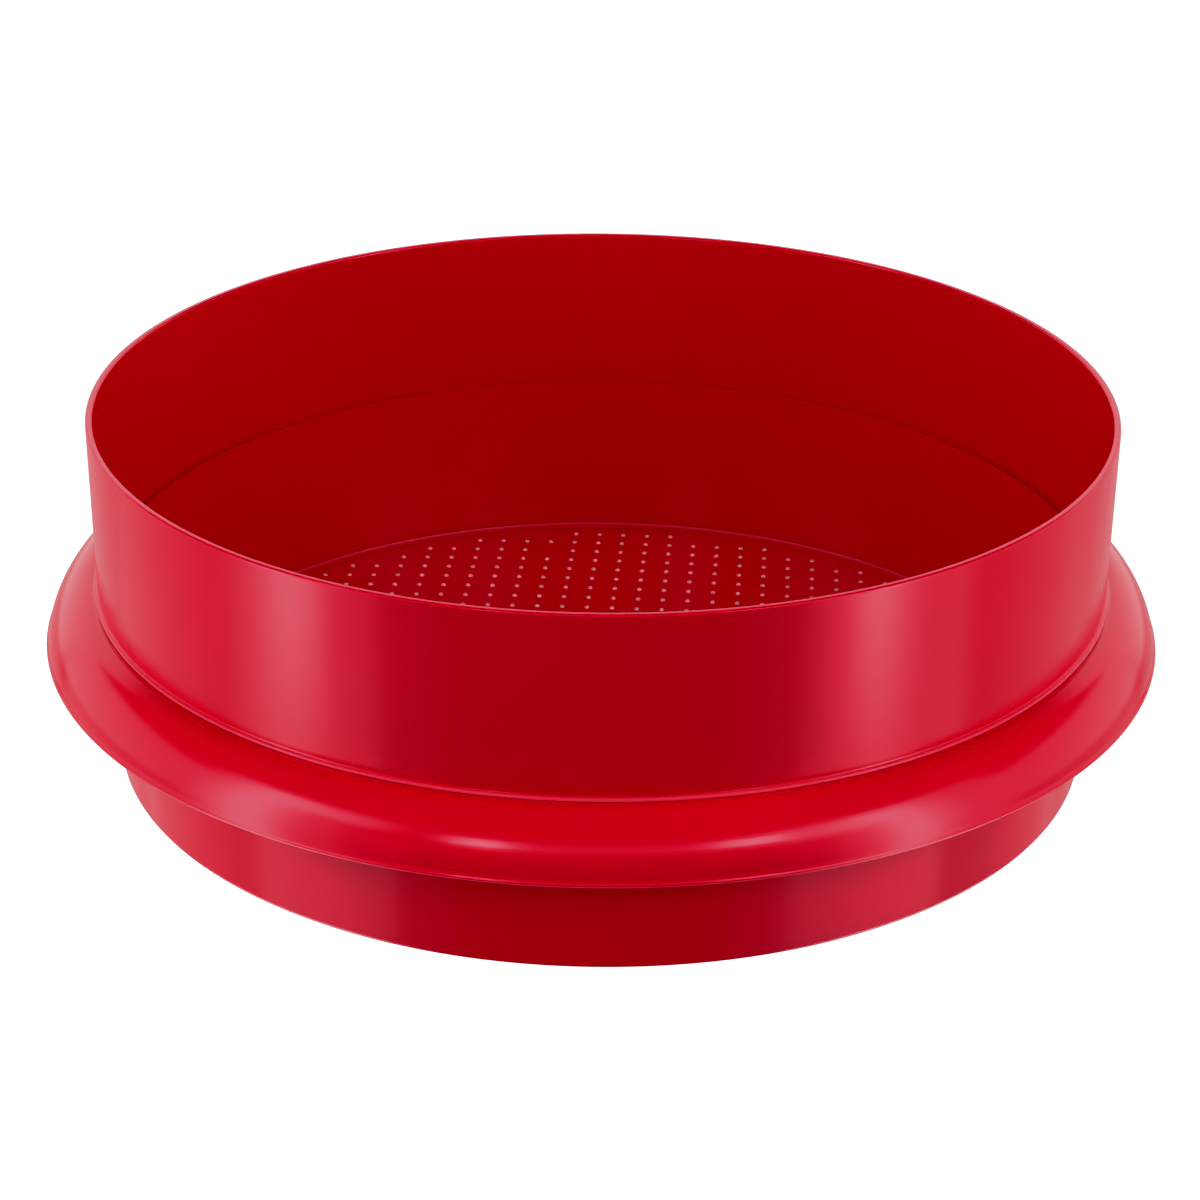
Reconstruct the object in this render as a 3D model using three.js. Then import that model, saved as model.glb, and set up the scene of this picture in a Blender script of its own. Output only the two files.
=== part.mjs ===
// A round plastic flour sifter that stands on a bowl. Five rings and discs stack on one axis:
// the sieve ring at the bottom with its foot ledge and flange, the domed sieve disc on the ledge,
// the hoop that holds the disc down, the bulging grip ring on the flange, and the tall collar
// that plugs in between the sieve ring and the grip ring. Units are millimetres and +Z is up.
// The origin is the centre of the foot, on the surface that the sifter stands on.

import * as THREE from 'three';
import * as BufferGeometryUtils from 'three/addons/utils/BufferGeometryUtils.js';

// ---------- driving dimensions ----------

const SEGMENTS = 96; // flats around every round piece
const CLEARANCE = 0.3; // air between pieces that seat on or inside each other

// The whole sifter.
const HEIGHT = 70.8; // from the foot to the rim
const RIM_RADIUS = 100; // outer edge of the rim's lip
const JOINT_HEIGHT = 35.5; // underside of the collar's foot lip

// The collar.
const COLLAR_WALL = 1.0;
const RIM_LIP_WIDTH = 0.45; // how far the rim's lip stands out of the wall
const RIM_LIP_HEIGHT = 1.2;
const RIM_ROUND = 0.4; // bevel on both edges of the rim's top
const FOOT_LIP_WIDTH = 1.05;
const FOOT_LIP_HEIGHT = 0.8;
const FOOT_LIP_BEVEL = 0.25;
const TONGUE_DEPTH = 5.3; // the part of the collar that plugs in below its foot lip

// The grip ring.
const GRIP_REACH = 9.5; // how far it stands out past the collar's foot lip
const GRIP_DROP = 11.2; // from its top down to its lower edge
const GRIP_WALL = 1.2;
const GRIP_FULLNESS = 1.75; // 2 would make the bulge a quarter ellipse, 1 a straight slope
const GRIP_STEPS = 8;

// The sieve ring.
const RING_WALL = 1.2;
const RING_DRAFT = 1.65; // how much smaller its radius is at the foot than at its top
const UPSTAND_HEIGHT = 0.8; // how far its top rises inside the collar above the joint
const FLANGE_THICKNESS = 1.5;
const FOOT_ROUND = 1.0;
const FOOT_ROUND_STEPS = 3;
const LEDGE_WIDTH = 3.4; // how far the foot's ledge reaches in under the disc
const LEDGE_THICKNESS = 0.6;

// The sieve disc and its hoop.
const DISC_THICKNESS = 0.6;
const DISC_RISE = 2.85; // how far the middle of the disc is domed up above its edge
const DISC_STEPS = 5;
const HOOP_WIDTH = 1.3;
const HOOP_HEIGHT = 0.8;

// ---------- seats shared by neighbouring pieces ----------

const collarOuter = RIM_RADIUS - RIM_LIP_WIDTH;
const collarInner = collarOuter - COLLAR_WALL;
const footLipOuter = collarOuter + FOOT_LIP_WIDTH;
const tongueBottom = JOINT_HEIGHT - TONGUE_DEPTH;

const gripTop = JOINT_HEIGHT - CLEARANCE;
const gripInner = collarOuter + CLEARANCE;
const gripHubOuter = gripInner + GRIP_WALL;

const ringTop = JOINT_HEIGHT + UPSTAND_HEIGHT;
const ringTopOuter = collarInner - CLEARANCE;
const flangeTop = tongueBottom - CLEARANCE;
const gripHubBottom = flangeTop + CLEARANCE;

// The sieve ring's wall is a plain cone, wider at the top so that it leaves its mould.
const ringOuterAt = (z) => ringTopOuter - RING_DRAFT * (1 - z / ringTop);
const ringInnerAt = (z) => ringOuterAt(z) - RING_WALL;

const discEdgeBottom = LEDGE_THICKNESS + CLEARANCE;
const discRadius = ringInnerAt(LEDGE_THICKNESS) - CLEARANCE;
const domeAt = (r) => DISC_RISE * (1 - (r / discRadius) ** 2);

const hoopInner = discRadius - HOOP_WIDTH;
const hoopBottom = discEdgeBottom + DISC_THICKNESS + domeAt(hoopInner) + CLEARANCE;
const hoopOuter = ringInnerAt(hoopBottom) - CLEARANCE;

// ---------- outlines, as [radius, height] pairs that run anticlockwise round the section ----------

// The collar's section: plug-in tongue, foot lip, plain wall and the lip at the rim.
function collarOutline() {
  const lipTop = JOINT_HEIGHT + FOOT_LIP_HEIGHT;
  const rimLipBottom = HEIGHT - RIM_LIP_HEIGHT;
  return [
    [collarInner, tongueBottom],
    [collarOuter, tongueBottom],
    [collarOuter, JOINT_HEIGHT],
    [footLipOuter, JOINT_HEIGHT],
    [footLipOuter, lipTop - FOOT_LIP_BEVEL],
    [footLipOuter - FOOT_LIP_BEVEL, lipTop],
    [collarOuter, lipTop],
    [collarOuter, rimLipBottom - RIM_LIP_WIDTH],
    [RIM_RADIUS, rimLipBottom],
    [RIM_RADIUS, HEIGHT - RIM_ROUND],
    [RIM_RADIUS - RIM_ROUND, HEIGHT],
    [collarInner + RIM_ROUND, HEIGHT],
    [collarInner, HEIGHT - RIM_ROUND],
  ];
}

// A quarter of a superellipse about (footLipOuter, the grip's lower edge): from its outermost
// point, straight above the edge, up and in towards the top. It stops at the radius `stopAt`.
function bulge(reach, rise, stopAt) {
  const edgeHeight = gripTop - GRIP_DROP;
  const power = 2 / GRIP_FULLNESS;
  const lastAngle = Math.acos(((stopAt - footLipOuter) / reach) ** (1 / power));
  const points = [];
  for (let i = 0; i <= GRIP_STEPS; i++) {
    const angle = (lastAngle * i) / GRIP_STEPS;
    points.push([
      footLipOuter + reach * Math.cos(angle) ** power,
      edgeHeight + rise * Math.sin(angle) ** power,
    ]);
  }
  return points;
}

// The grip ring's section: a thin bulging shell, open underneath, on a short upright hub.
function gripOutline() {
  const outside = bulge(GRIP_REACH, GRIP_DROP, footLipOuter);
  const inside = bulge(GRIP_REACH - GRIP_WALL, GRIP_DROP - GRIP_WALL, gripHubOuter);
  return [
    ...outside,
    [gripInner, gripTop],
    [gripInner, gripHubBottom],
    [gripHubOuter, gripHubBottom],
    ...inside.reverse(),
  ];
}

// The sieve ring's section: foot ledge, rounded foot, drafted wall, flange and upstand.
function ringOutline() {
  const ledgeInner = ringInnerAt(LEDGE_THICKNESS) - LEDGE_WIDTH;
  const flangeBottom = flangeTop - FLANGE_THICKNESS;
  const roundCentre = ringOuterAt(FOOT_ROUND) - FOOT_ROUND;
  const foot = [];
  for (let i = 0; i <= FOOT_ROUND_STEPS; i++) {
    const angle = (Math.PI / 2) * (i / FOOT_ROUND_STEPS);
    foot.push([
      roundCentre + FOOT_ROUND * Math.sin(angle),
      FOOT_ROUND * (1 - Math.cos(angle)),
    ]);
  }
  return [
    [ledgeInner, 0],
    ...foot,
    [ringOuterAt(flangeBottom), flangeBottom],
    [gripHubOuter, flangeBottom],
    [gripHubOuter, flangeTop],
    [ringOuterAt(flangeTop), flangeTop],
    [ringTopOuter, ringTop],
    [ringTopOuter - RING_WALL, ringTop],
    [ringInnerAt(LEDGE_THICKNESS), LEDGE_THICKNESS],
    [ledgeInner, LEDGE_THICKNESS],
  ];
}

// The disc's section: a shallow dome of even thickness, from the axis out and back to the axis.
function discOutline() {
  const underside = [];
  const topside = [];
  for (let i = 0; i <= DISC_STEPS; i++) {
    const r = (discRadius * i) / DISC_STEPS;
    underside.push([r, discEdgeBottom + domeAt(r)]);
    topside.push([r, discEdgeBottom + DISC_THICKNESS + domeAt(r)]);
  }
  return [...underside, ...topside.reverse()];
}

// The hoop's section: a plain flat strip.
function hoopOutline() {
  return [
    [hoopInner, hoopBottom],
    [hoopOuter, hoopBottom],
    [hoopOuter, hoopBottom + HOOP_HEIGHT],
    [hoopInner, hoopBottom + HOOP_HEIGHT],
  ];
}

// ---------- solids ----------

// Turns an outline about the +Z axis. A ring's outline is closed back on its first point; one
// that starts and ends on the axis needs no closing. A lathe leaves doubled points at its seam
// and slivers at the axis, so the points are merged and the slivers dropped.
function turned(outline) {
  const onAxis = outline[0][0] === 0;
  const closed = onAxis ? outline : [...outline, outline[0]];
  const lathe = new THREE.LatheGeometry(
    closed.map(([r, z]) => new THREE.Vector2(r, z)),
    SEGMENTS,
  );
  lathe.rotateX(Math.PI / 2); // the lathe's own axis is +Y
  lathe.deleteAttribute('normal');
  lathe.deleteAttribute('uv');
  const merged = BufferGeometryUtils.mergeVertices(lathe, 1e-4);
  const corners = merged.getIndex().array;
  const kept = [];
  for (let i = 0; i < corners.length; i += 3) {
    const [a, b, c] = [corners[i], corners[i + 1], corners[i + 2]];
    if (a !== b && b !== c && c !== a) kept.push(a, b, c);
  }
  merged.setIndex(kept);
  merged.computeVertexNormals();
  return merged;
}

const redPlastic = { color: 0xb80a1e, roughness: 0.35, metalness: 0 };

function piece(name, outline, look = redPlastic) {
  const mesh = new THREE.Mesh(turned(outline), new THREE.MeshStandardMaterial(look));
  mesh.name = name;
  return mesh;
}

// ---------- assembly ----------

const sifter = new THREE.Group();
sifter.add(piece('sieve_ring', ringOutline()));
sifter.add(piece('sieve_disc', discOutline(), { color: 0xa30514, roughness: 0.4, metalness: 0 }));
sifter.add(piece('disc_hoop', hoopOutline()));
sifter.add(piece('grip_ring', gripOutline()));
sifter.add(piece('collar', collarOutline()));

export default sifter;
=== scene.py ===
import math

import bpy
import numpy as np
from mathutils import Matrix, Vector
from mathutils.geometry import delaunay_2d_cdt


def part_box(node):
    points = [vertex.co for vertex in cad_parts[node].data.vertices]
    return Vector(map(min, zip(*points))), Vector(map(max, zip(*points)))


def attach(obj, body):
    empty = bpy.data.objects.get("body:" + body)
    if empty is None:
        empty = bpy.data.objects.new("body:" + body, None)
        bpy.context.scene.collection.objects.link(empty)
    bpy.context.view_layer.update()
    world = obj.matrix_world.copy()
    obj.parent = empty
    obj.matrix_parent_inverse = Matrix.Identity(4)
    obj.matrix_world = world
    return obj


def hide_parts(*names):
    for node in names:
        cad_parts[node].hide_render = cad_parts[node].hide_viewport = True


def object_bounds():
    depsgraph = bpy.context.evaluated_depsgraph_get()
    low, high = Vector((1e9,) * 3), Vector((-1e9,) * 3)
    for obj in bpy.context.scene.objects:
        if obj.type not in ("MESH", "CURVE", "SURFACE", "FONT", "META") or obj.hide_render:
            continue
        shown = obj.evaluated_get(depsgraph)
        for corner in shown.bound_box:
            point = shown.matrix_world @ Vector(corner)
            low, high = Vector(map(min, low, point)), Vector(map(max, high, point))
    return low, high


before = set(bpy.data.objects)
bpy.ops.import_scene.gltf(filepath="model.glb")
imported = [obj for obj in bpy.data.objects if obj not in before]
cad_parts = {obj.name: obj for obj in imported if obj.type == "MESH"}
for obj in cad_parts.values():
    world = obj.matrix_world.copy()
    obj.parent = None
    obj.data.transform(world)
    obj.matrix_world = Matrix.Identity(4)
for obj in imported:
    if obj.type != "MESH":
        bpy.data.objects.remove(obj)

MM = 0.001
cad_low, cad_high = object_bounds()

# --- Camera ---------------------------------------------------------------------------------
# A long lens a little way off, looking down into the sifter at a shallow angle, as a small
# product is photographed on a table.

rim_centre = Vector((0.0, 0.0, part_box("collar")[1].z))
rim_radius = 100.0 * MM
camera_distance = 6.307 * rim_radius
camera_elevation = math.radians(21.37)
camera_roll = math.radians(0.5)
aim_from_rim = Vector((-0.003, 0.0, -0.4375)) * rim_radius
aim = rim_centre + aim_from_rim

eye = rim_centre + camera_distance * Vector(
    (0.0, -math.cos(camera_elevation), math.sin(camera_elevation))
)
forward = (aim - eye).normalized()
level_right = forward.cross(Vector((0.0, 0.0, 1.0))).normalized()
level_up = level_right.cross(forward)
right = math.cos(camera_roll) * level_right + math.sin(camera_roll) * level_up
up = math.cos(camera_roll) * level_up - math.sin(camera_roll) * level_right

lens = bpy.data.cameras.new("camera")
lens.sensor_width = 36.0
lens.lens = 96.9
camera = bpy.data.objects.new("camera", lens)
camera.matrix_world = Matrix.Translation(eye) @ Matrix((right, up, -forward)).transposed().to_4x4()
bpy.context.scene.collection.objects.link(camera)
bpy.context.scene.camera = camera

# --- Sieve ring -----------------------------------------------------------------------------
# The lower ring that stands on the table or drops inside a bowl. Injection-moulded red
# polypropylene, with a drafted wall, a foot ledge for the disc and a flange half way up that
# carries the grip ring and the collar.

arc_step = math.radians(18)
holding_gap = 0.12 * MM
straight_limit = math.radians(89)


def rounded(corners, spacing=3.5 * MM):
    """A closed outline with its corners filleted.

    corners are (radius, height, fillet) rows in order round the section. Each corner becomes an
    arc of its fillet, whose centre lies on the corner's bisector at fillet / sin(half angle).
    The straight runs between arcs get a holding point close to each end and even points
    between, so that smooth shading stays flat on them.
    """
    corners = np.asarray(corners, float)
    arcs = []
    for before, here, after in zip(np.roll(corners, 1, 0), corners, np.roll(corners, -1, 0)):
        point, fillet = here[:2], here[2]
        to_before = (before[:2] - point) / np.linalg.norm(before[:2] - point)
        to_after = (after[:2] - point) / np.linalg.norm(after[:2] - point)
        half = math.acos(np.clip(to_before @ to_after, -1.0, 1.0)) / 2
        if fillet == 0.0 or half > straight_limit:
            arcs.append(point[None])
            continue
        bisector = (to_before + to_after) / np.linalg.norm(to_before + to_after)
        centre = point + bisector * fillet / math.sin(half)
        start = point + to_before * fillet / math.tan(half) - centre
        end = point + to_after * fillet / math.tan(half) - centre
        turn = math.pi - 2 * half
        t = np.linspace(0.0, 1.0, 3 + int(turn / arc_step))[:, None]
        arcs.append(
            centre + (np.sin((1 - t) * turn) * start + np.sin(t * turn) * end) / math.sin(turn)
        )
    outline = []
    for arc, following in zip(arcs, arcs[1:] + arcs[:1]):
        outline.append(arc)
        run = following[0] - arc[-1]
        length = np.linalg.norm(run)
        if length > 3 * holding_gap:
            steps = max(2, int(round(length / spacing)) + 1)
            t = np.linspace(holding_gap / length, 1 - holding_gap / length, steps)[:, None]
            outline.append(arc[-1] + t * run)
    return np.vstack(outline)


steps_around = 288


def turned(name, section, around=steps_around):
    """A ring: the point at (i, j) is section point j turned about +Z by i / around of a turn.

    x = r cos a, y = r sin a, z = h. The grid closes on itself both ways, so the ring has no seam.
    """
    count = len(section)
    angle = np.linspace(0.0, 2 * math.pi, around, endpoint=False)[:, None]
    r, h = section[:, 0], section[:, 1]
    points = np.stack(
        [r * np.cos(angle), r * np.sin(angle), np.broadcast_to(h, (around, count))], -1
    )
    i, j = np.meshgrid(np.arange(around), np.arange(count), indexing="ij")
    i_next, j_next = (i + 1) % around, (j + 1) % count
    quads = np.stack(
        [i * count + j, i_next * count + j, i_next * count + j_next, i * count + j_next], -1
    )
    return surface(name, points.reshape(-1, 3), quads.reshape(-1, 4))


def surface(name, points, faces, slots=None):
    """A smooth-shaded mesh object at the origin from arrays of points and of faces."""
    mesh = bpy.data.meshes.new(name)
    mesh.from_pydata(points.tolist(), [], faces if isinstance(faces, list) else faces.tolist())
    mesh.polygons.foreach_set("use_smooth", np.ones(len(mesh.polygons), bool))
    if slots is not None:
        mesh.polygons.foreach_set("material_index", np.asarray(slots, np.int32))
    mesh.update()
    made = bpy.data.objects.new(name, mesh)
    bpy.context.scene.collection.objects.link(made)
    return made


ring_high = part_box("sieve_ring")[1]
clearance = 0.3 * MM
collar_wall = 1.0 * MM
collar_foot_lip_width = 1.05 * MM
ring_wall = 1.2 * MM
ring_draft = 1.65 * MM
ring_bevel = 0.6 * MM
ring_top_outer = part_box("collar")[1].x - collar_foot_lip_width - collar_wall - clearance
ledge_top = 0.6 * MM
ledge_width = 3.4 * MM
flange_bottom, flange_top = 28.4 * MM, 29.9 * MM


def ring_outer(z):
    """Outside radius of the drafted wall: it narrows evenly from the top down to the foot."""
    return ring_top_outer - ring_draft * (1 - z / ring_high.z)


ring_inner_foot = ring_outer(ledge_top) - ring_wall
sieve_ring = turned(
    "sieve_ring_shell",
    rounded(
        [
            (ring_inner_foot - ledge_width, 0.0, 0.15 * MM),
            (ring_outer(0.0), 0.0, 0.9 * MM),
            (ring_outer(flange_bottom), flange_bottom, 0.4 * MM),
            (ring_high.x, flange_bottom, 0.3 * MM),
            (ring_high.x, flange_top, 0.3 * MM),
            (ring_outer(flange_top), flange_top, 0.2 * MM),
            (ring_top_outer, ring_high.z - ring_bevel, 0.2 * MM),
            (ring_top_outer - ring_wall, ring_high.z, 0.08 * MM),
            (ring_inner_foot, ledge_top, 0.15 * MM),
            (ring_inner_foot - ledge_width, ledge_top, 0.2 * MM),
        ]
    ),
)


def finish_node(tree, kind, **values):
    """One node in a tree, with its plain socket values set by name."""
    node = tree.nodes.new(kind)
    for socket, value in values.items():
        node.inputs[socket].default_value = value
    return node


def moulded_finish():
    """Node group for moulded plastic: cloudy colour, uneven gloss and a faint orange peel.

    Clouds a few centimetres across shift the colour between Deep and Bright. Finer noise moves
    the roughness by Unevenness either way, and a bump of strength Peel makes the orange peel.
    """
    group = bpy.data.node_groups.new("moulded_finish", "ShaderNodeTree")
    for label, kind in (
        ("Deep", "NodeSocketColor"),
        ("Bright", "NodeSocketColor"),
        ("Gloss", "NodeSocketFloat"),
        ("Unevenness", "NodeSocketFloat"),
        ("Peel", "NodeSocketFloat"),
    ):
        group.interface.new_socket(label, in_out="INPUT", socket_type=kind)
    group.interface.new_socket("Color", in_out="OUTPUT", socket_type="NodeSocketColor")
    group.interface.new_socket("Roughness", in_out="OUTPUT", socket_type="NodeSocketFloat")
    group.interface.new_socket("Normal", in_out="OUTPUT", socket_type="NodeSocketVector")
    inputs = group.nodes.new("NodeGroupInput")
    outputs = group.nodes.new("NodeGroupOutput")
    place = group.nodes.new("ShaderNodeTexCoord")
    link = group.links.new

    clouds = finish_node(group, "ShaderNodeTexNoise", Scale=28.0, Detail=3.0, Roughness=0.55)
    tint = group.nodes.new("ShaderNodeMix")
    tint.data_type = "RGBA"
    link(place.outputs["Object"], clouds.inputs["Vector"])
    link(clouds.outputs["Fac"], tint.inputs["Factor"])
    link(inputs.outputs["Deep"], tint.inputs["A"])
    link(inputs.outputs["Bright"], tint.inputs["B"])
    link(tint.outputs["Result"], outputs.inputs["Color"])

    smear = finish_node(group, "ShaderNodeTexNoise", Scale=140.0, Detail=4.0, Roughness=0.6)
    centred = group.nodes.new("ShaderNodeMath")
    centred.operation = "SUBTRACT"
    centred.inputs[1].default_value = 0.5
    rough = group.nodes.new("ShaderNodeMath")
    rough.operation = "MULTIPLY_ADD"
    link(place.outputs["Object"], smear.inputs["Vector"])
    link(smear.outputs["Fac"], centred.inputs[0])
    link(centred.outputs[0], rough.inputs[0])
    link(inputs.outputs["Unevenness"], rough.inputs[1])
    link(inputs.outputs["Gloss"], rough.inputs[2])
    link(rough.outputs[0], outputs.inputs["Roughness"])

    peel = finish_node(group, "ShaderNodeTexNoise", Scale=420.0, Detail=2.0, Roughness=0.5)
    bump = finish_node(group, "ShaderNodeBump", Distance=0.02 * MM)
    link(place.outputs["Object"], peel.inputs["Vector"])
    link(peel.outputs["Fac"], bump.inputs["Height"])
    link(inputs.outputs["Peel"], bump.inputs["Strength"])
    link(bump.outputs["Normal"], outputs.inputs["Normal"])
    return group


finish_group = moulded_finish()


polypropylene_ior = 1.49
pigment_tint = (1.0, 0.47, 0.58, 1.0)


def plastic(name, deep, bright, gloss, unevenness, peel, sheen_level=0.75):
    """A moulded plastic: the finish group's colour, roughness and normal on a plain shader.

    Its pigment reaches the surface, so its reflections are tinted with it.
    """
    material = bpy.data.materials.new(name)
    material.use_nodes = True
    tree = material.node_tree
    shader = tree.nodes["Principled BSDF"]
    shader.inputs["IOR"].default_value = polypropylene_ior
    shader.inputs["Specular IOR Level"].default_value = sheen_level
    shader.inputs["Specular Tint"].default_value = pigment_tint
    finish = tree.nodes.new("ShaderNodeGroup")
    finish.node_tree = finish_group
    finish.inputs["Deep"].default_value = (*deep, 1.0)
    finish.inputs["Bright"].default_value = (*bright, 1.0)
    finish.inputs["Gloss"].default_value = gloss
    finish.inputs["Unevenness"].default_value = unevenness
    finish.inputs["Peel"].default_value = peel
    tree.links.new(finish.outputs["Color"], shader.inputs["Base Color"])
    tree.links.new(finish.outputs["Roughness"], shader.inputs["Roughness"])
    tree.links.new(finish.outputs["Normal"], shader.inputs["Normal"])
    return material


red_polypropylene = plastic(
    "red_polypropylene",
    deep=(0.66, 0.001, 0.036),
    bright=(0.70, 0.001, 0.040),
    gloss=0.19,
    unevenness=0.04,
    peel=0.15,
)
sieve_ring.data.materials.append(red_polypropylene)
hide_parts("sieve_ring")
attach(sieve_ring, "sieve_ring")

# --- Sieve disc -----------------------------------------------------------------------------
# A thin red polypropylene plate, sprung up into a shallow dome, that lies on the sieve ring's
# ledge. It is pierced with a square grid of fine holes, each with a small raised burr. The burrs
# are painted pale pink: painted light that stands in for the bright light seen through the holes.

disc_low, disc_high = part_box("sieve_disc")
disc_radius = disc_high.x
disc_thickness = 0.6 * MM
disc_rise = disc_high.z - disc_low.z - disc_thickness
hole_pitch = 5.4 * MM
hole_field_radius = 92.15 * MM
grid_turn = math.radians(-3.45)
grid_shift = np.array([-0.095, 0.524]) * hole_pitch
hole_margin = 3.9 * MM
hole_sides = 12
burr_radius, crest_radius, hole_radius = 0.56 * MM, 0.43 * MM, 0.33 * MM
burr_height = 0.30 * MM
throat_depth = 0.02 * MM
missed_hole = (-3, 14)
field_shift = np.array([-0.5, -1.6]) * MM


def dome(x, y):
    """Height of the plate's upper face: highest in the middle, falling with the radius squared."""
    return disc_high.z - disc_rise * (x**2 + y**2) / disc_radius**2


def hole_centres():
    """Centres of the square grid of holes that lie inside the pierced field.

    The field is a circle that sits a little off the disc's centre, and it keeps off the margin
    that the hoop presses on. One hole was missed by the tool.
    """
    reach = math.ceil(hole_field_radius / hole_pitch) + 1
    i, j = np.meshgrid(np.arange(-reach, reach + 1), np.arange(-reach, reach + 1))
    a = i.ravel() * hole_pitch + grid_shift[0]
    b = j.ravel() * hole_pitch + grid_shift[1]
    x = math.cos(grid_turn) * a - math.sin(grid_turn) * b
    y = math.sin(grid_turn) * a + math.cos(grid_turn) * b
    inside = np.hypot(x - field_shift[0], y - field_shift[1]) < hole_field_radius
    inside &= np.hypot(x, y) < disc_radius - hole_margin
    inside &= (i.ravel() != missed_hole[0]) | (j.ravel() != missed_hole[1])
    return np.stack([x[inside], y[inside]], -1)


def pierced_face(centres, opening):
    """Flat triangles that fill the disc's circle around polygons of radius `opening`.

    Returns the plan points, the triangles, and for every hole its ring of point numbers.
    """
    rim = np.linspace(0.0, 2 * math.pi, steps_around, endpoint=False)
    edge = disc_radius * np.stack([np.cos(rim), np.sin(rim)], -1)
    side = np.linspace(0.0, 2 * math.pi, hole_sides, endpoint=False)
    polygon = opening * np.stack([np.cos(side), np.sin(side)], -1)
    holes = (centres[:, None] + polygon[None]).reshape(-1, 2)
    plan = np.vstack([edge, holes])
    rim_ids = np.arange(steps_around)
    hole_ids = steps_around + np.arange(len(holes)).reshape(-1, hole_sides)
    edges = [np.stack([rim_ids, np.roll(rim_ids, -1)], -1)]
    edges += [np.stack([hole_ids, np.roll(hole_ids, -1, 1)], -1).reshape(-1, 2)]
    every_triangle, merge_distance = 0, 1e-6
    verts, _, faces, _, _, _ = delaunay_2d_cdt(
        [Vector(p) for p in plan / MM],
        np.vstack(edges).tolist(),
        [],
        every_triangle,
        merge_distance,
        False,
    )
    flat = np.array(verts) * MM
    if len(flat) != len(plan) or not np.allclose(flat, plan, atol=0.001 * MM):
        raise ValueError("the plate's points changed places while it was triangulated")
    faces = np.array(faces)
    hole_of = np.full(len(plan), -1)
    hole_of[steps_around:] = np.repeat(np.arange(len(centres)), hole_sides)
    owner = hole_of[faces]
    in_hole = (owner[:, 0] >= 0) & (owner == owner[:, :1]).all(1)
    faces = faces[~in_hole]
    a, b, c = (plan[faces[:, k]] for k in range(3))
    turn = np.cross(b - a, c - a)
    faces[turn < 0] = faces[turn < 0][:, ::-1]
    return plan, faces, rim_ids, hole_ids


def band(lower, upper):
    """Quads between two matching rings of point numbers, one row of rings for each hole."""
    lower_next, upper_next = np.roll(lower, -1, -1), np.roll(upper, -1, -1)
    return np.stack([lower, lower_next, upper_next, upper], -1).reshape(-1, 4)


def pierced_plate(name):
    """The domed plate: an upper and a lower face joined at the edge and through every hole.

    Round each hole the upper face climbs to a burr's crest and drops into the hole. The edges
    where burrs, holes and rim meet the two faces are sharp, so that the faces shade as a dome.
    """
    centres = hole_centres()
    top_plan, top_faces, rim_ids, burr_ids = pierced_face(centres, burr_radius)
    low_plan, low_faces, _, mouth_ids = pierced_face(centres, hole_radius)
    spokes = (top_plan[burr_ids] - centres[:, None]) / burr_radius
    crest_plan = (centres[:, None] + crest_radius * spokes).reshape(-1, 2)
    throat_plan = (centres[:, None] + hole_radius * spokes).reshape(-1, 2)
    plans = [top_plan, crest_plan, throat_plan, low_plan]
    lifts = [0.0, burr_height, -throat_depth, -disc_thickness]
    layers = [np.column_stack([p, dome(p[:, 0], p[:, 1]) + lift]) for p, lift in zip(plans, lifts)]
    starts = np.cumsum([0] + [len(layer) for layer in layers])
    ring = np.arange(len(crest_plan)).reshape(-1, hole_sides)
    crest_ids, throat_ids = starts[1] + ring, starts[2] + ring
    low_rim, low_mouth = starts[3] + rim_ids, starts[3] + mouth_ids
    plain = [top_faces, (low_faces + starts[3])[:, ::-1], band(low_rim, rim_ids)]
    burrs = [band(burr_ids, crest_ids), band(crest_ids, throat_ids), band(throat_ids, low_mouth)]
    faces = [face for part in plain + burrs for face in part.tolist()]
    slots = np.zeros(len(faces), int)
    slots[sum(len(part) for part in plain):] = 1
    plate = surface(name, np.vstack(layers), faces, slots)
    ring_of = np.full(starts[4], -1)
    ring_of[burr_ids] = np.arange(len(centres))[:, None]
    ring_of[low_mouth] = np.arange(len(centres))[:, None] + len(centres)
    ring_of[rim_ids] = 2 * len(centres)
    ring_of[low_rim] = 2 * len(centres) + 1
    ends = np.empty(2 * len(plate.data.edges), int)
    plate.data.edges.foreach_get("vertices", ends)
    first, second = ring_of[ends.reshape(-1, 2)].T
    plate.data.edges.foreach_set("use_edge_sharp", (first >= 0) & (first == second))
    return plate


sieve_plate = pierced_plate("sieve_plate")
red_sheet = plastic(
    "red_sheet",
    deep=(0.68, 0.001, 0.040),
    bright=(0.72, 0.001, 0.044),
    gloss=0.30,
    unevenness=0.10,
    peel=0.30,
)
# The burrs' pale pink is painted light: it stands in for the bright light seen through the holes.
painted_light_burr = plastic(
    "painted_light_burr",
    deep=(1.0, 0.42, 0.43),
    bright=(1.0, 0.58, 0.59),
    gloss=0.30,
    unevenness=0.10,
    peel=0.5,
    sheen_level=0.8,
)
sieve_plate.data.materials.append(red_sheet)
sieve_plate.data.materials.append(painted_light_burr)
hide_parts("sieve_disc")
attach(sieve_plate, "sieve_disc")

# --- Hoop -----------------------------------------------------------------------------------
# A thin hoop of the same red polypropylene, sloping down inwards from a narrow lip. It springs
# out against the sieve ring's wall and keeps the disc down on its ledge. Its lip is painted pale
# as a painted highlight along the edge.

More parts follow.
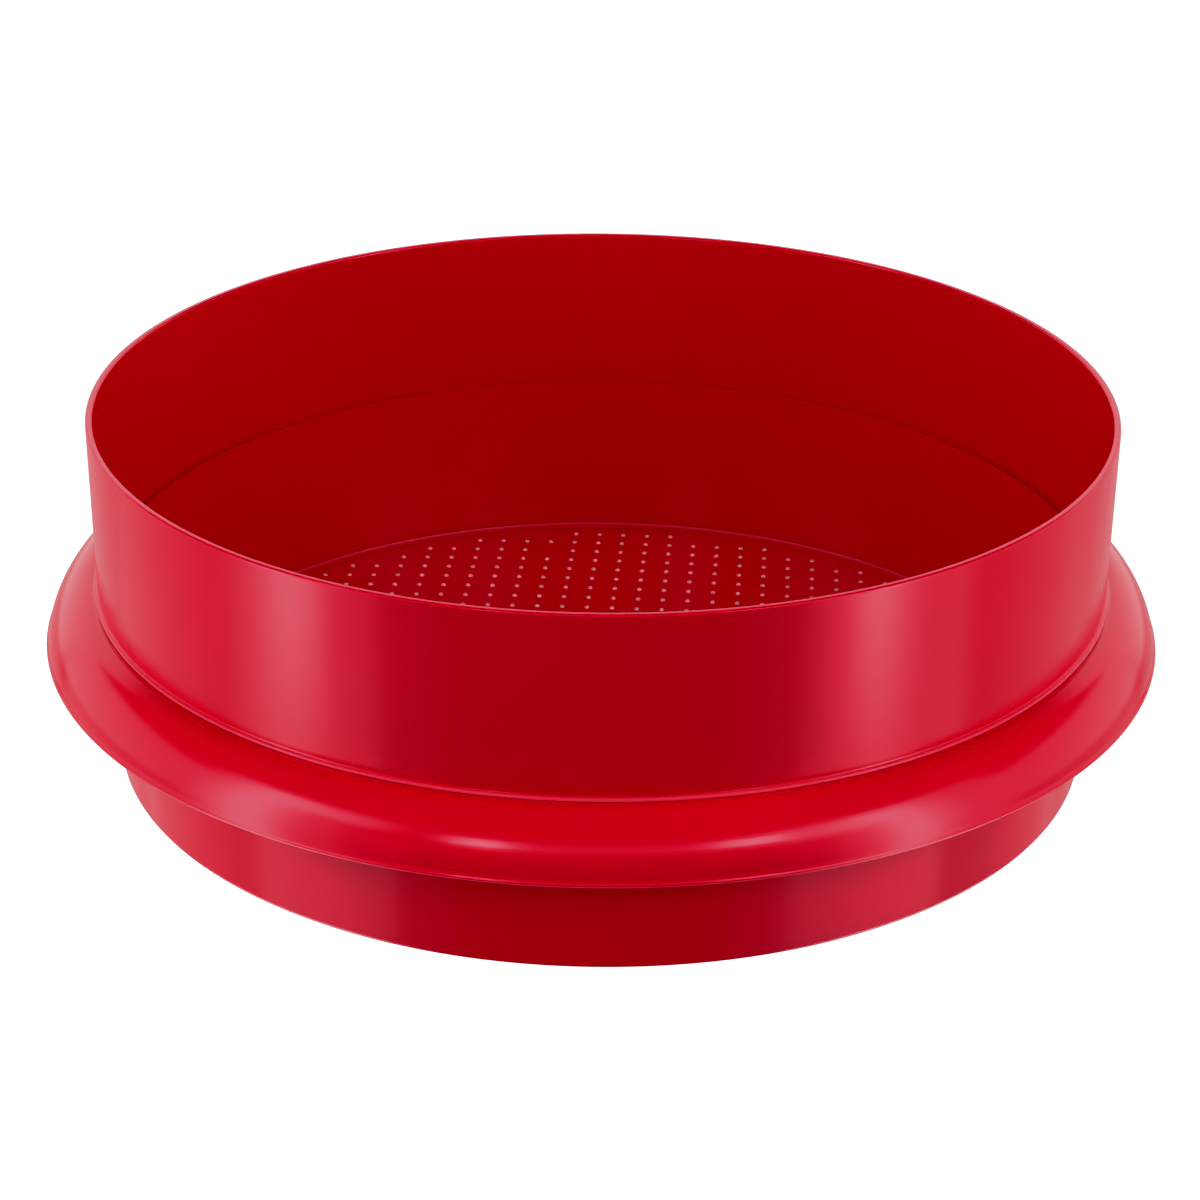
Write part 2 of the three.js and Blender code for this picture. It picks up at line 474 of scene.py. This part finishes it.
hoop_low, hoop_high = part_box("disc_hoop")
hoop_width = 1.3 * MM
hoop_land = 0.6 * MM
hoop_edge = 0.3 * MM
hoop_lip = 0.45 * MM
hoop_lip_lean = 0.1 * MM
hoop_sag = 0.27 * MM
hoop_bottom = hoop_low.z - hoop_sag
# A paler red for rounded edges: a painted highlight where the edges catch the light.
painted_edge_highlight = plastic(
    "painted_edge_highlight",
    deep=(0.80, 0.062, 0.120),
    bright=(0.84, 0.075, 0.135),
    gloss=0.25,
    unevenness=0.06,
    peel=0.15,
)
disc_hoop = turned(
    "retaining_hoop",
    rounded(
        [
            (hoop_high.x - hoop_width, hoop_bottom, 0.1 * MM),
            (hoop_high.x, hoop_bottom, 0.1 * MM),
            (hoop_high.x, hoop_high.z, hoop_edge),
            (hoop_high.x - hoop_land, hoop_high.z, 0.15 * MM),
            (hoop_high.x - hoop_land - hoop_lip_lean, hoop_high.z - hoop_lip, 0.08 * MM),
        ]
    ),
)
disc_hoop.data.materials.append(red_polypropylene)


def paint_edge_highlight(ring, inner_radius, low, high):
    """Paints a pale highlight on the faces past a radius and between two heights: a painted
    highlight along an edge.
    """
    corners = np.empty(3 * len(ring.data.vertices))
    ring.data.vertices.foreach_get("co", corners)
    x, y, z = corners.reshape(-1, 3).T
    faces = np.empty(4 * len(ring.data.polygons), int)
    ring.data.polygons.foreach_get("vertices", faces)
    radius, height = (v[faces.reshape(-1, 4)].mean(1) for v in (np.hypot(x, y), z))
    on_edge = (radius > inner_radius) & (height > low) & (height < high)
    ring.data.materials.append(painted_edge_highlight)
    ring.data.polygons.foreach_set("material_index", on_edge.astype(np.int32))


# The hoop's lip gets a painted highlight in the paler red.
paint_edge_highlight(disc_hoop, 0.0, hoop_high.z - hoop_lip, hoop_high.z)
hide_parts("disc_hoop")
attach(disc_hoop, "disc_hoop")

# --- Grip ring ------------------------------------------------------------------------------
# The bulging ring that the hands hold and that rests over a bowl's rim. It is a thin moulded
# shell, open underneath, on a short upright hub that drops over the sieve ring's flange.

grip_low, grip_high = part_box("grip_ring")
grip_wall = 1.2 * MM
grip_inner = ring_high.x - grip_wall
bulge_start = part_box("collar")[1].x
bead_radius = 0.45 * MM
bead_standout = 0.3 * MM
bulge_reach = grip_high.x - bulge_start - bead_standout
seam_lift = 0.24 * MM
grip_top = grip_high.z + seam_lift
bulge_drop = grip_top - grip_low.z
bulge_fullness = 1.75


def bulge(reach, drop, stop_at, steps=30):
    """A quarter superellipse: (x / reach)^p + (z / drop)^p = 1 with p the fullness.

    It starts at its outermost point, level with the grip ring's lower edge, and stops on top at
    the radius stop_at. Each row ends with a zero fillet, because the curve is already smooth.
    """
    power = 2 / bulge_fullness
    last = math.acos(((stop_at - bulge_start) / reach) ** (1 / power))
    angle = np.linspace(0.0, last, steps)
    r = bulge_start + reach * np.cos(angle) ** power
    z = grip_low.z + drop * np.sin(angle) ** power
    return np.stack([r, z, np.zeros(steps)], -1)


def bead(centre, radius, start, end, steps=9):
    """A round bead's section: radius about the centre, from the start angle to the end angle."""
    angle = np.radians(np.linspace(start, end, steps))
    r, z = centre[0] + radius * np.cos(angle), centre[1] + radius * np.sin(angle)
    return np.stack([r, z, np.zeros(steps)], -1)


outside = bulge(bulge_reach, bulge_drop, bulge_start)
bead_clear = 2.2 * bead_radius
outside = outside[outside[:, 1] > grip_low.z + bead_clear]
lower_bead = bead((grip_high.x - bead_radius, grip_low.z + bead_radius), bead_radius, -90, 55)
inside = bulge(bulge_reach - grip_wall, bulge_drop - grip_wall, ring_high.x)[::-1]
inside[-1, 2] = 0.3 * MM
hub = [
    (grip_inner, grip_top, 0.2 * MM),
    (grip_inner, flange_top + clearance, 0.2 * MM),
    (ring_high.x, flange_top + clearance, 0.2 * MM),
]
grip_ring = turned("grip_ring_shell", rounded(np.vstack([lower_bead, outside, hub, inside])))
grip_ring.data.materials.append(red_polypropylene)
# The lower bead's edge gets a painted highlight in the paler red.
paint_edge_highlight(grip_ring, grip_high.x - bead_radius, grip_low.z, grip_low.z + 1.1 * bead_radius)
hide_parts("grip_ring")
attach(grip_ring, "grip_ring")

# --- Collar ---------------------------------------------------------------------------------
# The tall upper ring that keeps the flour in while the sifter is shaken. A thin moulded wall
# that flares very slightly up to a rounded rim, with a small lip at its foot; below the lip a
# tongue plugs in behind the grip ring.

collar_low, collar_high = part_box("collar")
collar_flare = 0.45 * MM
collar_outer = rim_radius - collar_flare
collar_inner = collar_outer - collar_wall
rim_round = 0.45 * MM
foot_lip_height = 0.48 * MM
foot_lip_standout = 0.7 * MM
foot_lip_bottom = 35.5 * MM
foot_lip_top = foot_lip_bottom + foot_lip_height
foot_lip_outer = collar_outer + foot_lip_standout
collar = turned(
    "collar_shell",
    rounded(
        [
            (collar_inner, collar_low.z, 0.25 * MM),
            (collar_outer, collar_low.z, 0.25 * MM),
            (collar_outer, foot_lip_bottom, 0.15 * MM),
            (foot_lip_outer, foot_lip_bottom, 0.04 * MM),
            (foot_lip_outer, foot_lip_top, 0.24 * MM),
            (collar_outer, foot_lip_top, 0.4 * MM),
            (rim_radius, collar_high.z, rim_round),
            (collar_inner, collar_high.z, rim_round),
        ]
    ),
)
collar.data.materials.append(red_polypropylene)
# The foot lip gets a painted highlight in the paler red.
paint_edge_highlight(collar, collar_outer + 0.2 * MM, foot_lip_bottom, foot_lip_top + 0.1 * MM)
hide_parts("collar")
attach(collar, "collar")

# --- Floor and light ------------------------------------------------------------------------
# A plain white table top in a dim room, with tall soft lights on both sides, weaker ones
# behind and below, small lamps high in front and a wide light overhead. The front below the
# table's height is left dark, so that the plastic keeps its deep red there.

floor_size = 6.0
floor_gap = 0.05 * MM
floor = surface(
    "floor",
    floor_size * np.array([(-1, -1, 0), (1, -1, 0), (1, 1, 0), (-1, 1, 0)], float)
    + np.array([0, 0, cad_low.z - floor_gap]),
    [[0, 1, 2, 3]],
)
table_top = bpy.data.materials.new("table_top")
table_top.use_nodes = True
top_tree = table_top.node_tree
top_shader = top_tree.nodes["Principled BSDF"]
top_shader.inputs["Base Color"].default_value = (0.15, 0.15, 0.15, 1.0)
top_shader.inputs["Roughness"].default_value = 0.9
# The table top looks white to the eye, but throws little light up at the sifter.
table_glow = 1.1
seen = top_tree.nodes.new("ShaderNodeLightPath")
glow = top_tree.nodes.new("ShaderNodeMath")
glow.operation = "MULTIPLY"
glow.inputs[1].default_value = table_glow
top_tree.links.new(seen.outputs["Is Camera Ray"], glow.inputs[0])
top_shader.inputs["Emission Color"].default_value = (1.0, 1.0, 1.0, 1.0)
top_tree.links.new(glow.outputs[0], top_shader.inputs["Emission Strength"])
floor.data.materials.append(table_top)
floor.visible_glossy = False
floor.visible_shadow = False

studio_radius = 1.2


def panel(name, azimuth, elevation, width, height, radiance):
    """A rectangular soft light, one studio radius away, that faces the middle of the sifter.

    azimuth is in degrees, 0 in front and + to the right, and elevation is above the horizon.
    radiance is how bright its face is, in W/m2/sr: its power is pi times radiance times area.
    """
    a, e = math.radians(azimuth), math.radians(elevation)
    lamp = bpy.data.lights.new(name, "AREA")
    lamp.shape = "RECTANGLE"
    lamp.size = width
    lamp.size_y = height
    lamp.energy = radiance * math.pi * lamp.size * lamp.size_y
    away = Vector((math.sin(a) * math.cos(e), -math.cos(a) * math.cos(e), math.sin(e)))
    light = bpy.data.objects.new(name, lamp)
    light.location = Vector((0.0, 0.0, cad_high.z / 2)) + studio_radius * away
    light.rotation_euler = away.to_track_quat("Z", "Y").to_euler()
    light.visible_camera = False
    bpy.context.scene.collection.objects.link(light)
    return light


def soft_light(name, azimuth, elevation, radiance):
    """A panel that covers two spans of angle, as seen from the sifter.

    azimuth is its left and right edge and elevation its lower and upper edge, in degrees. Its
    width is 2 R tan(half its azimuth span) cos(middle elevation), its height the same without
    the cosine.
    """
    middle_azimuth, middle_elevation = sum(azimuth) / 2, sum(elevation) / 2
    half_width = math.radians(azimuth[1] - azimuth[0]) / 2
    half_height = math.radians(elevation[1] - elevation[0]) / 2
    width = 2 * studio_radius * math.tan(half_width) * math.cos(math.radians(middle_elevation))
    height = 2 * studio_radius * math.tan(half_height)
    return panel(name, middle_azimuth, middle_elevation, width, height, radiance)


# The tall side lights: each is brighter towards its middle and fades out towards the front.
soft_light("left_light", (-84, -48), (-40, 36), 1.05)
soft_light("left_core", (-78, -58), (-27, 36), 0.95)
soft_light("left_hot", (-73, -62), (-25, 36), 2.3)
soft_light("left_fringe", (-48, -34), (-40, 20), 0.32)
soft_light("right_light", (44, 84), (-40, 36), 1.0)
soft_light("right_core", (50, 70), (-27, 36), 0.85)
soft_light("right_hot", (55, 64), (-25, 36), 2.8)
soft_light("right_fringe", (30, 44), (-40, 20), 0.32)
# Paler panels beside, behind and below the sifter.
soft_light("left_wall", (-130, -84), (-8, 24), 0.95)
soft_light("right_wall", (84, 130), (-8, 24), 0.9)
soft_light("left_low_wall", (-130, -84), (-40, -8), 0.5)
soft_light("right_low_wall", (84, 130), (-40, -8), 0.42)
soft_light("left_back_wall", (-165, -130), (-8, 34), 0.95)
soft_light("right_back_wall", (130, 165), (-8, 34), 0.9)
soft_light("left_low_back_wall", (-165, -130), (-40, -8), 0.36)
soft_light("right_low_back_wall", (130, 165), (-40, -8), 0.34)
soft_light("left_under_light", (-125, -60), (-65, -42), 2.6)
soft_light("right_under_light", (60, 125), (-65, -42), 2.6)
soft_light("back_light", (165, 195), (8, 36), 1.0)
# Strips and small lamps high in front.
soft_light("left_strip", (-62, -42), (25, 38), 1.5)
soft_light("right_strip", (34, 56), (22, 38), 1.6)
soft_light("left_lamp", (-28, -19), (26.5, 34), 10.0)
soft_light("right_lamp", (24, 36), (27, 33.5), 8.5)
soft_light("middle_lamps", (-20, 24), (26, 36), 0.8)
# The overhead light fills the inside and the grip ring's top, without a reflection there.
top_light = panel("top_light", 0.0, 90.0, 2.4, 0.8735, 0.72)
top_light.visible_glossy = False

world = bpy.data.worlds.new("studio")
world.use_nodes = True
world_tree = world.node_tree
room = world_tree.nodes["Background"]
path = world_tree.nodes.new("ShaderNodeLightPath")
shade = world_tree.nodes.new("ShaderNodeMix")
shade.data_type = "RGBA"
dim_room = (0.05, 0.05, 0.05, 1.0)
shade.inputs["A"].default_value = dim_room
shade.inputs["B"].default_value = (1.0, 1.0, 1.0, 1.0)
world_tree.links.new(path.outputs["Is Camera Ray"], shade.inputs["Factor"])
world_tree.links.new(shade.outputs["Result"], room.inputs["Color"])
bpy.context.scene.world = world

# The picture gets more contrast and saturation, as a product shot does: each pair is a
# brightness and what it is shown as, for red and for green and blue.
view = bpy.context.scene.view_settings
view.view_transform = "Standard"
view.use_curve_mapping = True
red_tone = (
    (0.05, 0.06),
    (0.15, 0.165),
    (0.3, 0.3),
    (0.37, 0.37),
    (0.42, 0.48),
    (0.46, 0.61),
    (0.53, 0.69),
    (0.75, 0.77),
)
pale_tone = (
    (0.012, 0.0005),
    (0.03, 0.009),
    (0.08, 0.055),
    (0.2, 0.185),
    (0.45, 0.46),
    (0.75, 0.82),
)
for channel, tone in zip(view.curve_mapping.curves[:3], (red_tone, pale_tone, pale_tone)):
    for brightness, shown in tone:
        channel.points.new(brightness, shown)
view.curve_mapping.update()
